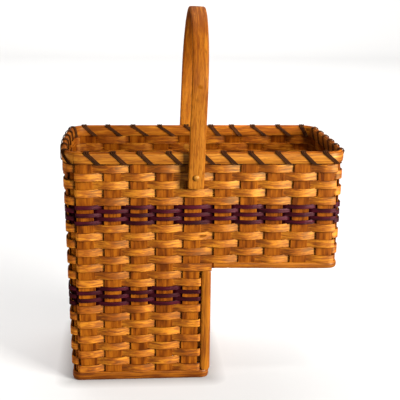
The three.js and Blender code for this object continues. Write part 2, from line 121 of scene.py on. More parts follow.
# How far each cross stake has slid along the front wall, at the foot and at the rim
FRONT_SLIDE = [(2.0, -1.6), (-0.9, 0.9), (-0.8, -0.2), (-1.9, -1.7), (-3.8, 1.7)]
FRONT_SLIDE += [(2.6, 2.6), (-1.2, 2.2), (-2.7, 0.7), (-4.6, 1.5), (2.1, -3.4)]

# How far each cross stake has drifted along the back wall by the time it reaches the rim
BACK_DRIFT = [-5.0, -4.8, -1.0, 0.5, 4.8, 2.5, 1.0, 1.0, 0.5, 0.0]

# Lashing
LASH_WIDTH = 9.0
LASH_THICKNESS = 1.2
LASH_REACH = 5.7
LASH_SLANT = 22.5
LASH_TAIL = 4.0
LASH_STRANDS = 3

# How far each turn of the lashing has slid from the middle of its gap: front, right end, back and left end
LASH_DRIFT = [4.8, 3.2, 3.4, 5.5, 10.8, 1.1, 2.0, 2.4, 2.4, -1.5] + [0.0] * 6
LASH_DRIFT += [1.5, 3.5, 8.0, 4.5, 0.0, 0.0, 3.0, 6.0, 7.0, 9.0] + [0.0] * 5 + [8.0]

# Knots, as a place and half a length: one on a row, right of the fifth stake, and one on the handle
KNOT_ROW = "middle_weaver_4"
KNOT_STAKE = 4
ROW_KNOT = (17.0, 5.0)
HANDLE_KNOT = (160.0, 2.4)

# Handle
HANDLE_WIDTH = 25.4
HANDLE_THICKNESS = 6.5
HANDLE_ROUNDING = 1.7
HANDLE_CROWN = 0.25
HANDLE_LEAN = math.radians(1.8)
HANDLE_TAIL = 18.0
# Painted light along the bow: lighter at the feet, darker over the top
HANDLE_PAINTED_LIGHT_FADE = 330.0

# Pins, as radii and lengths
PIN_SHAFT = 2.5
PIN_HEAD = 5.0
PIN_DOME = 3.0
PIN_PLATE = 1.5
PIN_COLLAR = 6.0
PIN_COLLAR_START = 3.4
PIN_PLAY = 0.9

# Spacing of the points along a line
STEP = 2.6
FINE_STEP = 0.9


@lru_cache(maxsize=None)
def box_of(node):
    low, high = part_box(node)
    return np.array(low) / MM, np.array(high) / MM


def middle_of(node):
    low, high = box_of(node)
    return (low + high) / 2


CROSS_STAKES = [f"cross_stake_{i}" for i in range(1, 11)]
LONG_STAKES = [f"long_stake_{j}" for j in range(1, 7)]
LEG_ROWS = (
    [f"leg_weaver_{i}" for i in range(1, 10)]
    + [f"leg_plum_weaver_{i}" for i in range(1, 6)]
    + [f"leg_upper_weaver_{i}" for i in range(1, 3)]
)
UPPER_ROWS = (
    [f"middle_weaver_{i}" for i in range(1, 6)]
    + [f"plum_weaver_{i}" for i in range(1, 6)]
    + [f"top_weaver_{i}" for i in range(1, 6)]
)
ROWS = LEG_ROWS + ["step_weaver"] + UPPER_ROWS
LEG_STAKES = 5

cross_x = [middle_of(node)[0] for node in CROSS_STAKES]
end_y = [middle_of(node)[1] for node in LONG_STAKES]
front_y = box_of("cross_stake_1")[0][1] + WALL_STAKE
back_y = -front_y
riser_x = box_of("leg_weaver_1")[1][0] - WEAVER_FACE
rim_z = box_of("outer_rim")[1][2]


def smooth(t):
    t = np.clip(t, 0.0, 1.0)
    return t * t * (3.0 - 2.0 * t)


def unit(vectors):
    return vectors / np.linalg.norm(vectors, axis=-1, keepdims=True)


def left_wall(z):
    """The left wall's middle at a height, on the line through the lowest and the highest row."""
    foot, top = box_of("leg_weaver_1"), box_of("top_weaver_5")
    heights = [(row[0][2] + row[1][2]) / 2 for row in (foot, top)]
    share = (z - heights[0]) / (heights[1] - heights[0])
    return foot[0][0] + WEAVER_FACE + share * (top[0][0] - foot[0][0])


def above_tread(z):
    """Zero up to the tread, rising to one at the rim."""
    tread = box_of("tread_band")[1][2]
    return smooth((z - tread) / (rim_z - tread))


def slide_at(number, z):
    """How far a cross stake has slid along the front wall at a height."""
    foot, top = FRONT_SLIDE[number]
    return foot + (top - foot) * z / rim_z


class WallLoop:
    """The middle line of the walls in plan at one height: front, right, back, left, from the front left corner.

    With no right end given it is the line of the upper walls, or else of the leg's walls."""

    def __init__(self, z, right=None):
        self.z = z
        rise = np.clip(z / rim_z, 0.0, 1.0)
        left = left_wall(z)
        rl = FOOT_CORNER + (RIM_CORNER_LEFT - FOOT_CORNER) * rise**2.2
        rr = RISER_CORNER if right else FOOT_CORNER + (RIM_CORNER_RIGHT - FOOT_CORNER) * rise**2.2
        bow_right = 0.0 if right else END_BOW_RIGHT * rise**1.5
        skew = 0.0 if right else END_SKEW_RIGHT * rise**1.5
        right = right or -left
        middles = [(left + rl, front_y + rl), (right - rr, front_y + rr)]
        middles += [(right - rr, back_y - rr), (left + rl, back_y - rl)]
        radii = [rl, rr, rr, rl]

        def arc(corner, start, end):
            corner %= 4
            turn = np.radians(np.linspace(start, end, 14))
            return np.array(middles[corner]) + radii[corner] * np.stack([np.cos(turn), np.sin(turn)], axis=-1)

        points = []
        for side in range(4):
            facing = side * 90.0 - 90.0
            first, second = arc(side, facing - 45, facing), arc(side + 1, facing, facing + 45)
            count = max(3, int(np.linalg.norm(second[0] - first[-1]) / 3.0))
            straight = np.linspace(first[-1], second[0], count)[1:-1]
            points.append(np.concatenate([first, straight, second[:-1]]))
        self.counts = np.cumsum([0] + [len(side) for side in points])
        points = np.concatenate(points)
        arch = 1.0 - (points[:, 1] / back_y) ** 2
        middle = (left + right) / 2
        share = smooth(np.abs(points[:, 0] - middle) / (right - middle))
        shift = np.where(
            points[:, 0] < middle,
            -END_BOW_LEFT * rise**1.5 * arch,
            bow_right * arch - skew * (points[:, 1] - front_y),
        )
        points[:, 0] += shift * share
        self.points = np.concatenate([points, points[:1]])
        steps = np.linalg.norm(np.diff(self.points, axis=0), axis=1)
        self.marks = np.concatenate([[0.0], np.cumsum(steps)])
        self.total = self.marks[-1]
        around = np.concatenate([points[-1:], points, points[:1]])
        along = unit(around[2:] - around[:-2])
        self.along = np.concatenate([along, along[:1]])
        turns = np.linalg.norm(np.diff(self.along, axis=0), axis=1) / steps
        self.is_bend = np.concatenate([turns, turns[:1]]) > 0.012

    def side(self, number, axis):
        """Points of one side with their distances along the loop, in rising order of one axis."""
        part = slice(self.counts[number], self.counts[number + 1] + 1)
        points, marks = self.points[part], self.marks[part]
        order = np.argsort(points[:, axis])
        return points[order], marks[order]

    def on_side(self, number, axis, value):
        points, marks = self.side(number, axis)
        return np.interp(value, points[:, axis], marks)

    def wall_at(self, number, axis, values):
        """Where one side's middle line lies, at places along it."""
        points = self.side(number, axis)[0]
        return np.interp(values, points[:, axis], points[:, 1 - axis])

    def corner(self, number):
        return self.marks[self.counts[number + 1]]

    def at(self, s, offset):
        """Points in plan at distances along the loop, and the outward directions there."""
        s = np.mod(s, self.total)
        point = np.stack([np.interp(s, self.marks, self.points[:, k]) for k in (0, 1)], axis=-1)
        along = unit(np.stack([np.interp(s, self.marks, self.along[:, k]) for k in (0, 1)], axis=-1))
        normal = np.stack([along[:, 1], -along[:, 0]], axis=-1)
        return point + normal * np.asarray(offset)[..., None], normal

    def stops(self, start, end):
        """Distances from start to end, closer together round the corners."""
        found = [start]
        while found[-1] < end:
            k = np.searchsorted(self.marks, found[-1] % self.total, side="right") - 1
            found.append(min(found[-1] + (FINE_STEP if self.is_bend[k] else STEP), end))
        return np.array(found)

    def stakes(self, front):
        """Distances along the loop to the middles of the stakes, in the order of the weaving."""
        marks = [self.on_side(0, 0, x + slide_at(i, self.z)) for i, x in enumerate(front)]
        marks += [self.on_side(1, 1, y) for y in end_y]
        behind = [x + above_tread(self.z) * BACK_DRIFT[i] for i, x in enumerate(front)]
        marks += [self.on_side(2, 0, x) for x in reversed(behind)]
        marks += [self.on_side(3, 1, y) for y in reversed(end_y)]
        return np.array(marks)


@lru_cache(maxsize=None)
def loop_at(z, on_leg=False):
    return WallLoop(z, riser_x if on_leg else None)


def wander(count, length, size, wave=70.0):
    """A slow random drift along a strip, for stock that is never quite straight."""
    knots = max(4, int(length / wave))
    values = rng.uniform(-size, size, knots)
    places = np.linspace(0, knots - 1, count)
    below = np.clip(places.astype(int), 0, knots - 2)
    share = smooth(places - below)
    return values[below] * (1 - share) + values[below + 1] * share


def over_under(s, marks, sides, spans, reach):
    """How far a weaver stands off the middle of the wall, over one stake and under the next."""
    k = np.clip(np.searchsorted(marks, s), 1, len(marks) - 1)
    begin, finish = spans[k - 1, 0], spans[k - 1, 1]
    share = smooth((s - begin) / (finish - begin))
    return reach * (sides[k - 1] * (1 - share) + sides[k] * share)


def dive_spans(marks, sides, front_count, slides):
    """Where a row crosses the wall between each two stakes: close to the front or back stake at the corners.

    A front stake that has slid away from its corner leaves the row that much more to run."""
    flat = np.where(sides > 0, FLAT_OVER_STAKE, FLAT_UNDER_STAKE)
    ends = np.stack([marks[:-1] + flat[:-1], marks[1:] - flat[1:]], axis=-1)
    count = front_count + len(end_y)
    for k in range(len(ends)):
        place, is_back = k % count, k // count % 2
        if place == front_count - 1:
            near, far = CORNER_DIVE[sides[k]]
            spare = 0.0 if is_back else max(-slides[1], 0.0)
            ends[k] = marks[k] + near + spare, marks[k] + far + spare
        elif place == count - 1:
            near, far = CORNER_DIVE[sides[k + 1]]
            spare = max(slides[0], 0.0) if is_back else 0.0
            ends[k] = marks[k + 1] - far - spare, marks[k + 1] - near - spare
    return ends + rng.uniform(-DIVE_PLAY, DIVE_PLAY, (len(ends), 1))


def flat_section(width, thickness, crown, edge=0.07):
    """Outline of a flat reed: crowned outer face, rounded edges, flat inner face, as steps across and out."""
    near, far, flat, level = 1 - edge * 0.2, 1 - edge, 1 - edge * 1.4, 1 - edge * 2.2
    face = [-near, -far, -flat, -level, -0.45, 0, 0.45, level, flat, far, near]
    across = np.array([-1] + face + [1, far, 0.5, -0.5, -far])
    lift = np.array([0, 0.6, 0.95] + [1] * 7 + [0.95, 0.6, 0, -0.95, -1, -1, -0.95])
    out = lift * thickness / 2 + np.where(lift > 0, crown * (1 - across**2), 0.0)
    return np.stack([across * width / 2, out], axis=-1)


def oval_section(width, thickness, points=9):
    """Outline of a half-round reed: a rounded outer face on a flat back."""
    turn = np.linspace(math.pi, 0, points)
    across = np.cos(turn) * width / 2
    out = np.sin(turn) ** 0.7 * thickness - thickness / 2
    back = np.array([[width * 0.46, -thickness / 2 - 0.1], [-width * 0.46, -thickness / 2 - 0.1]])
    return np.concatenate([np.stack([across, out], axis=-1), back])


def swept(name, centre, across, out, section, along, painted_inner_shade=0.0, tone=None, knot=None, painted_outer_shade=0.0,
          edge_darkening=1.0):
    """A strip swept along a line, whose points keep their place on the strip for the grain, the tone, the
    staining and the painted shade.
    """
    section = np.broadcast_to(section, (len(centre),) + section.shape[-2:])
    points = centre[:, None] + across[:, None] * section[..., :1] + out[:, None] * section[..., 1:]
    rings, sides = points.shape[:2]
    i, j = np.meshgrid(np.arange(rings - 1) * sides, np.arange(sides), indexing="ij")
    beside = (j + 1) % sides
    quads = np.stack([i + j, i + sides + j, i + sides + beside, i + beside], axis=-1)
    faces = quads.reshape(-1, 4).tolist()
    faces.append(list(range(sides)))
    faces.append(list(range((rings - 1) * sides, rings * sides))[::-1])
    grain = np.empty((rings, sides, 3))
    grain[..., 0] = along[:, None] * MM
    grain[..., 1] = section[..., 0] * MM
    grain[..., 2] = rng.uniform(0, 90)
    stain_tone_and_shade = np.empty((rings, sides, 3))
    stain_tone_and_shade[..., 0] = edge_darkening * np.abs(section[..., 0]) / np.abs(section[..., 0]).max(axis=1, keepdims=True)
    stain_tone_and_shade[..., 1] = rng.uniform(0, 1) if tone is None else tone[:, None]
    # Painted shade on the inner and outer faces
    painted_inner_shade, painted_outer_shade = (np.broadcast_to(stain_and_shade, rings)[:, None] for stain_and_shade in (painted_inner_shade, painted_outer_shade))
    stain_tone_and_shade[..., 2] = np.where(section[..., 1] < 0, painted_inner_shade, painted_outer_shade)
    if knot is not None:
        # The middle point of the outer face takes the stain of a knot
        middle = np.argmin(np.abs(section[0, :, 0]) + 99.0 * (section[0, :, 1] < 0))
        stain_tone_and_shade[:, middle, 2] = smooth(1.6 - np.abs(along - knot[0]) / knot[1])
    return new_piece(name, points.reshape(-1, 3), faces, grain.reshape(-1, 3), stain_tone_and_shade.reshape(-1, 3))


def sagged(points):
    """The upper walls hang a little towards the free end of the tread, and not at all at the rim."""
    reach = smooth((points[:, 0] - riser_x) / (cross_x[-1] - riser_x))
    tread = box_of("tread_band")[0][2]
    share = np.clip((rim_z - points[:, 2]) / (rim_z - tread), 0.0, 1.0)
    lower = points.copy()
    lower[:, 2] -= TREAD_SAG * reach * share
    return lower


def new_piece(name, points, faces, grain, stain_tone_and_shade):
    points = sagged(points)
    mesh = bpy.data.meshes.new(name)
    mesh.from_pydata((points * MM).tolist(), [], faces)
    mesh.update()
    face_out(mesh)
    for label, values in (("grain", grain), ("stain_tone_and_shade", stain_tone_and_shade)):
        attribute = mesh.attributes.new(label, "FLOAT_VECTOR", "POINT")
        attribute.data.foreach_set("vector", values.astype(np.float32).ravel())
    mesh.polygons.foreach_set("use_smooth", np.ones(len(mesh.polygons), bool))
    mesh.set_sharp_from_angle(angle=math.radians(55))
    obj = bpy.data.objects.new(name, mesh)
    bpy.context.scene.collection.objects.link(obj)
    return obj


def face_out(mesh):
    """Turns the faces outwards where the closed body's volume comes out negative."""
    volume = 0.0
    for polygon in mesh.polygons:
        volume += polygon.area * polygon.normal.dot(polygon.center)
    if volume < 0:
        mesh.flip_normals()


def dress(obj, node, material, body="basket"):
    obj.data.materials.append(material)
    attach(obj, body)
    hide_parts(node)
    return obj


def lifted(plan, z):
    """Points in plan and a height as points in space."""
    return np.concatenate([plan, np.broadcast_to(z, plan.shape[:-1])[..., None]], axis=-1)


def softened(line, step, spread):
    """A polyline walked in even steps, with its corners eased."""
    lengths = np.concatenate([[0.0], np.cumsum(np.linalg.norm(np.diff(line, axis=0), axis=1))])
    count = max(2, int(lengths[-1] / step))
    stops = np.linspace(0, lengths[-1], count)
    walked = np.stack([np.interp(stops, lengths, line[:, k]) for k in range(line.shape[1])], axis=-1)
    reach = int(3 * spread / step)
    weights = np.exp(-0.5 * (np.arange(-reach, reach + 1) * step / spread) ** 2)
    weights /= weights.sum()
    lead = walked[:1] - (walked[1:2] - walked[:1]) * np.arange(reach, 0, -1)[:, None]
    trail = walked[-1:] + (walked[-1:] - walked[-2:-1]) * np.arange(1, reach + 1)[:, None]
    padded = np.concatenate([lead, walked, trail])
    eased = np.stack([np.convolve(padded[:, k], weights, mode="valid") for k in range(line.shape[1])], axis=-1)
    return eased, stops


# Node groups that several finishes share
def new_group(name, inputs, outputs):
    group = bpy.data.node_groups.new(name, "ShaderNodeTree")
    for label, kind in inputs:
        group.interface.new_socket(label, in_out="INPUT", socket_type=kind)
    for label, kind in outputs:
        group.interface.new_socket(label, in_out="OUTPUT", socket_type=kind)
    return group, group.nodes.new("NodeGroupInput"), group.nodes.new("NodeGroupOutput")


def math_node(tree, operation, first, second, clamp=False):
    node = tree.nodes.new("ShaderNodeMath")
    node.operation = operation
    node.use_clamp = clamp
    for socket, value in zip(node.inputs, (first, second)):
        if isinstance(value, (int, float)):
            socket.default_value = value
        else:
            tree.links.new(value, socket)
    return node.outputs[0]


def stretched(tree, value, low, high, to_low=0.0, to_high=1.0):
    node = tree.nodes.new("ShaderNodeMapRange")
    node.inputs["From Min"].default_value = low
    node.inputs["From Max"].default_value = high
    node.inputs["To Min"].default_value = to_low
    node.inputs["To Max"].default_value = to_high
    tree.links.new(value, node.inputs["Value"])
    return node.outputs["Result"]


def noise(tree, place, along, across, shift, detail, figure=0.0):
    """Noise drawn out along a strip: features per metre along and across it."""
    split = tree.nodes.new("ShaderNodeSeparateXYZ")
    tree.links.new(place, split.inputs[0])
    join = tree.nodes.new("ShaderNodeCombineXYZ")
    tree.links.new(math_node(tree, "MULTIPLY", split.outputs["X"], along), join.inputs["X"])
    tree.links.new(math_node(tree, "MULTIPLY", split.outputs["Y"], across), join.inputs["Y"])
    tree.links.new(math_node(tree, "ADD", split.outputs["Z"], shift), join.inputs["Z"])
    texture = tree.nodes.new("ShaderNodeTexNoise")
    texture.inputs["Scale"].default_value = 1.0
    texture.inputs["Detail"].default_value = detail
    texture.inputs["Roughness"].default_value = 0.55
    texture.inputs["Distortion"].default_value = figure
    tree.links.new(join.outputs[0], texture.inputs["Vector"])
    return texture.outputs["Fac"]


def fibre_group():
    """Grain of split reed or wood: broad streaks, fine fibres and stain blotches, drawn out along the strip."""
    group, entry, leave = new_group(
        "fibre_grain",
        [("Place", "NodeSocketVector")]
        + [(label, "NodeSocketFloat") for label in ("Along", "Across", "Sparse")],
        [(label, "NodeSocketFloat") for label in ("Streaks", "Fibres", "Blotches", "Flecks")],
    )
    place, along, across = entry.outputs["Place"], entry.outputs["Along"], entry.outputs["Across"]
    streaks = noise(group, place, along, across, 0.0, 3.0, figure=1.1)
    fine_along = math_node(group, "MULTIPLY", along, 2.2)
    fine_across = math_node(group, "MULTIPLY", across, 4.5)
    fibres = noise(group, place, fine_along, fine_across, 11.0, 2.0)
    broad_along = math_node(group, "MULTIPLY", along, 0.9)
    broad_across = math_node(group, "MULTIPLY", across, 0.2)
    blotches = noise(group, place, broad_along, broad_across, 23.0, 2.0)
    fleck_along = math_node(group, "MULTIPLY", along, 6.0)
    fleck_across = math_node(group, "MULTIPLY", across, 2.2)
    flecks = noise(group, place, fleck_along, fleck_across, 37.0, 1.0)
    flecks = math_node(group, "SUBTRACT", flecks, entry.outputs["Sparse"])
    group.links.new(stretched(group, flecks, 0.0, 0.1), leave.inputs["Flecks"])
    group.links.new(stretched(group, streaks, 0.3, 0.7), leave.inputs["Streaks"])
    group.links.new(stretched(group, fibres, 0.3, 0.7), leave.inputs["Fibres"])
    group.links.new(stretched(group, blotches, 0.3, 0.7), leave.inputs["Blotches"])
    return group


def stain_and_shade_group():
    """Darkening along the edges of a strip, part staining and part painted shade between rows, and the
    darkening the mesh carries: painted shade where a strip tucks in under another or faces inwards, and knots.
    """
    group, entry, leave = new_group(
        "stain_and_painted_shade",
        [("Wear", "NodeSocketVector"), ("Blotches", "NodeSocketFloat")],
        [("StainAndShade", "NodeSocketFloat"), ("Tone", "NodeSocketFloat")],
    )
    split = group.nodes.new("ShaderNodeSeparateXYZ")
    group.links.new(entry.outputs["Wear"], split.inputs[0])
    # Edges darken, part staining and part painted shade between rows
    edge = stretched(group, split.outputs["X"], 0.8, 0.98)
    uneven = stretched(group, entry.outputs["Blotches"], 0.0, 1.0, 0.45, 1.0)
    edge = math_node(group, "MULTIPLY", edge, uneven)
    # The mesh's third channel carries painted shade and knots
    stain_and_shade = math_node(group, "MAXIMUM", edge, split.outputs["Z"], clamp=True)
    group.links.new(stain_and_shade, leave.inputs["StainAndShade"])
    group.links.new(split.outputs["Y"], leave.inputs["Tone"])
    return group


FIBRE_GRAIN = fibre_group()
STAIN_AND_PAINTED_SHADE = stain_and_shade_group()


def placed(tree, group, **links):
    node = tree.nodes.new("ShaderNodeGroup")
    node.node_tree = group
    for label, value in links.items():
        if isinstance(value, (int, float)):
            node.inputs[label].default_value = value
        else:
            tree.links.new(value, node.inputs[label])
    return node.outputs


def attribute(tree, name):
    node = tree.nodes.new("ShaderNodeAttribute")
    node.attribute_name = name
    return node.outputs["Vector"]


def ramp(tree, value, stops):
    node = tree.nodes.new("ShaderNodeValToRGB")
    elements = node.color_ramp.elements
    while len(elements) < len(stops):
        elements.new(0.5)
    for element, (place, colour) in zip(elements, stops):
        element.position = place
        element.color = (*colour, 1.0)
    tree.links.new(value, node.inputs[0])
    return node.outputs["Color"]


def tinted(tree, share, first, second, blend="MIX"):
    node = tree.nodes.new("ShaderNodeMix")
    node.data_type = "RGBA"
    node.blend_type = blend
    for socket, value in ((node.inputs[0], share), (node.inputs[6], first), (node.inputs[7], second)):
        if isinstance(value, (int, float)):
            socket.default_value = value
        elif isinstance(value, tuple):
            socket.default_value = (*value, 1.0)
        else:
            tree.links.new(value, socket)
    return node.outputs[2]


def fibre_finish(name, dark, mid, light, stain_and_shade, along, across, rough, relief, edge=0.5, gloss=0.3, flecks=0.3,
                 tint=(1.0, 0.74, 0.44), sparse=0.62, streaky=0.58):
    """A stained reed or wood finish: streaked colour, darker edges that are part staining and part painted
    shade, painted shade from the mesh, satin gloss and raised fibres.
    """
    material = bpy.data.materials.new(name)
    material.use_nodes = True
    tree = material.node_tree
    shader = tree.nodes["Principled BSDF"]
    fibre = placed(tree, FIBRE_GRAIN, Place=attribute(tree, "grain"), Along=along, Across=across, Sparse=sparse)
    darkening = placed(tree, STAIN_AND_PAINTED_SHADE, Wear=attribute(tree, "stain_tone_and_shade"), Blotches=fibre["Blotches"])
    body = math_node(tree, "MULTIPLY", fibre["Streaks"], streaky)
    body = math_node(tree, "ADD", body, math_node(tree, "MULTIPLY", fibre["Blotches"], 0.88 - streaky))
    body = math_node(tree, "ADD", body, math_node(tree, "MULTIPLY", darkening["Tone"], 0.18))
    colour = ramp(tree, body, [(0.27, dark), (0.5, mid), (0.79, light)])
    fine = stretched(tree, fibre["Fibres"], 0.0, 0.45, 0.75, 1.0)
    fine_colour = tree.nodes.new("ShaderNodeCombineColor")
    for label in ("Red", "Green", "Blue"):
        tree.links.new(fine, fine_colour.inputs[label])
    colour = tinted(tree, 1.0, colour, fine_colour.outputs[0], "MULTIPLY")
    colour = tinted(tree, math_node(tree, "MULTIPLY", fibre["Flecks"], flecks), colour, stain_and_shade)
    # Darkened towards the staining colour at the edges and where shade is painted
    colour = tinted(tree, math_node(tree, "MULTIPLY", darkening["StainAndShade"], edge), colour, stain_and_shade)
    tree.links.new(colour, shader.inputs["Base Color"])
    roughness = stretched(tree, fibre["Streaks"], 0.0, 1.0, rough + 0.1, rough - 0.08)
    tree.links.new(roughness, shader.inputs["Roughness"])
    height = math_node(tree, "ADD", math_node(tree, "MULTIPLY", fibre["Fibres"], 0.6), fibre["Streaks"])
    bump = tree.nodes.new("ShaderNodeBump")
    bump.inputs["Strength"].default_value = relief
    bump.inputs["Distance"].default_value = 0.3 * MM
    tree.links.new(height, bump.inputs["Height"])
    tree.links.new(bump.outputs[0], shader.inputs["Normal"])
    # Less gloss at stained edges and where shade is painted
    sheen = stretched(tree, darkening["StainAndShade"], 0.0, 0.6, gloss, 0.1 * gloss)
    tree.links.new(sheen, shader.inputs["Specular IOR Level"])
    shader.inputs["Specular Tint"].default_value = (*tint, 1.0)
    return material


WEAVER_REED = fibre_finish(
    "stained weaver reed", dark=(0.15, 0.026, 0.0009), mid=(0.275, 0.06, 0.0016), light=(0.505, 0.169, 0.0098),
    stain_and_shade=(0.032, 0.005, 0.0005), along=40.0, across=320.0, rough=0.5, relief=0.35,
    edge=0.95, gloss=0.6, flecks=0.2, tint=(0.7, 1.0, 0.46),
)
STAKE_REED = fibre_finish(
    "stained stake reed", dark=(0.088, 0.0165, 0.0008), mid=(0.188, 0.043, 0.002), light=(0.3, 0.084, 0.0043),
    stain_and_shade=(0.05, 0.008, 0.0005), along=22.0, across=560.0, rough=0.5, relief=0.3, gloss=0.15, flecks=0.25,
    tint=(1.0, 0.8, 0.4), streaky=0.26,
)
PLUM_REED = fibre_finish(
    "plum dyed reed", dark=(0.012, 0.0005, 0.0011), mid=(0.028, 0.0014, 0.0036), light=(0.056, 0.0034, 0.009),
    stain_and_shade=(0.005, 0.0004, 0.001), along=24.0, across=520.0, rough=0.36, relief=0.35,
    edge=0.8, gloss=0.34, flecks=0.0, tint=(1.0, 0.6, 0.64),
)
RIM_REED = fibre_finish(
    "golden rim reed", dark=(0.17, 0.04, 0.003), mid=(0.31, 0.094, 0.006), light=(0.48, 0.185, 0.018),
    stain_and_shade=(0.09, 0.019, 0.002), along=16.0, across=300.0, rough=0.44, relief=0.3, gloss=0.5, flecks=0.5,
    tint=(1.0, 0.9, 0.42),
)
BAND_REED = fibre_finish(
    "stained band reed", dark=(0.1, 0.019, 0.001), mid=(0.215, 0.055, 0.002), light=(0.35, 0.112, 0.006),
    stain_and_shade=(0.055, 0.01, 0.001), along=16.0, across=330.0, rough=0.42, relief=0.35,
    edge=0.4, gloss=0.4, flecks=0.4,
)
LASH_REED = fibre_finish(
    "dark lashing", dark=(0.014, 0.004, 0.0012), mid=(0.034, 0.009, 0.002), light=(0.07, 0.02, 0.005),
    stain_and_shade=(0.006, 0.002, 0.001), along=30.0, across=900.0, rough=0.6, relief=0.3, edge=0.4, gloss=0.12,
)
HANDLE_WOOD = fibre_finish(
    "stained bent wood", dark=(0.17, 0.038, 0.002), mid=(0.265, 0.076, 0.004), light=(0.36, 0.125, 0.01),
    stain_and_shade=(0.09, 0.019, 0.001), along=16.0, across=300.0, rough=0.45, relief=0.25,
    edge=0.4, gloss=0.25, flecks=0.5, sparse=0.55,
)
PIN_BRASS = fibre_finish(
    "aged pin brass", dark=(0.2, 0.07, 0.006), mid=(0.3, 0.11, 0.011), light=(0.4, 0.17, 0.022),
    stain_and_shade=(0.1, 0.028, 0.003), along=120.0, across=300.0, rough=0.42, relief=0.3, gloss=0.4,
)


# Weavers
def row_sides(row, count):
    """Plus one where the row lies outside a stake, minus one where it lies inside."""
    return np.where((np.arange(count) + row) % 2 == 0, 1.0, -1.0)


def weaver(node, loop, marks, sides, start, end):
    """One row of flat reed, over and under the stakes."""
    low, high = box_of(node)
    s = loop.stops(start, end)
    every = np.concatenate([marks - loop.total, marks, marks + loop.total])
    sides = np.tile(sides, 3)
    front_count = len(marks) // 2 - len(end_y)
    slides = slide_at(0, loop.z), slide_at(front_count - 1, loop.z)
    spans = dive_spans(every, sides, front_count, slides)
    facing = loop.at(s, np.zeros(len(s)))[1]
    # One on the flat walls and less round the corners
    squareness = np.abs(facing).max(axis=1)
    # The weave stands out most on the front wall and least on the back one and its corners
    is_back_corner = smooth((0.98 - squareness) / 0.2) * (facing[:, 1] > 0)
    reach = np.interp(facing[:, 1], *WEAVER_REACH) * (1 - BACK_CORNER_CLOSING * is_back_corner)
    offset = over_under(s, every, sides, spans, reach)
    plan = loop.at(s, offset)[0]
    length = end - start
    is_far = smooth((0.8 + facing[:, 1]) / 0.6)
    sink = WEAVER_SINK * (1 - 0.3 * is_far)
    z = (low[2] + high[2]) / 2 - sink + wander(len(s), length, WEAVER_WANDER)
    forward = unit(np.gradient(plan, axis=0))
    out = lifted(np.stack([forward[:, 1], -forward[:, 0]], axis=-1), 0.0)
    lean = wander(len(s), length, 0.03)[:, None]
    upright = np.array([0.0, 0.0, 1.0])
    across = unit(upright + lean * out)
    out = unit(out - lean * upright)
    is_plum = "plum" in node
    packing = PLUM_PACKING if is_plum else WEAVER_PACKING
    packing = packing + (FAR_PLUM_PACKING if is_plum else FAR_PACKING) * is_far
    packing = packing + TUCKED_PACKING * smooth(0.4 - offset / reach) * (1 - is_far)
    width = (high[2] - low[2] + packing) * (1 + wander(len(s), length, 0.008))
    section = flat_section(1.0, WEAVER_THICKNESS, WEAVER_CROWN)
    sections = np.repeat(section[None], len(s), axis=0)
    sections[..., 0] *= width[:, None]
    knot = None
    if node == KNOT_ROW:
        knot = (start + (marks[KNOT_STAKE] + ROW_KNOT[0] - start) % loop.total, ROW_KNOT[1])
    # Painted shade: a plum row is darker where it goes behind a stake, and any other row where it tucks in at a
    # corner
    depth = -offset / reach
    if is_plum:
        painted_shade_outside = TUCK_PAINTED_SHADE * smooth((depth - 0.2) / 0.5)
    else:
        painted_shade_outside = CORNER_PAINTED_SHADE * smooth((depth - 0.4) / 0.5) * (squareness < 0.99)
    # Painted shade on the inner face, darkest where the row lies outside a stake
    painted_shade_inside = WEAVER_INNER_PAINTED_SHADE + (TUCK_PAINTED_SHADE - WEAVER_INNER_PAINTED_SHADE) * smooth(0.2 - depth)
    obj = swept(
        f"{node}_reed", lifted(plan, z), across, out, sections, s, painted_shade_inside, knot=knot,
        painted_outer_shade=painted_shade_outside, edge_darkening=WEAVER_EDGE_DARKENING,
    )
    dress(obj, node, PLUM_REED if is_plum else WEAVER_REED)


def weave():
    for row, node in enumerate(ROWS):
        on_leg = node in LEG_ROWS
        front = cross_x[:LEG_STAKES] if on_leg else cross_x
        loop = loop_at(middle_of(node)[2], on_leg)
        marks = loop.stakes(front)
        sides = row_sides(row, len(marks))
        if node == "step_weaver":
            reach = box_of(node)[1][0] + STEP_ROW_REACH
            start, end = loop.on_side(2, 0, reach), loop.total + loop.on_side(0, 0, reach)
            # Past the leg both ends stay outside, up to the tread band
            behind = len(front) + len(end_y) + LEG_STAKES - 1
            sides[LEG_STAKES], sides[behind] = sides[LEG_STAKES - 1], sides[behind + 1]
            weaver(node, loop, marks, sides, start, end)
            continue
        # The ends of a row meet inside the front wall, behind a stake that hides them
        meets = 1 + row % 2 if sides[1 + row % 2] < 0 else 2 + row % 2
        start = marks[meets] + END_GAP
        weaver(node, loop, marks, sides, start, marks[meets] + loop.total - END_GAP)


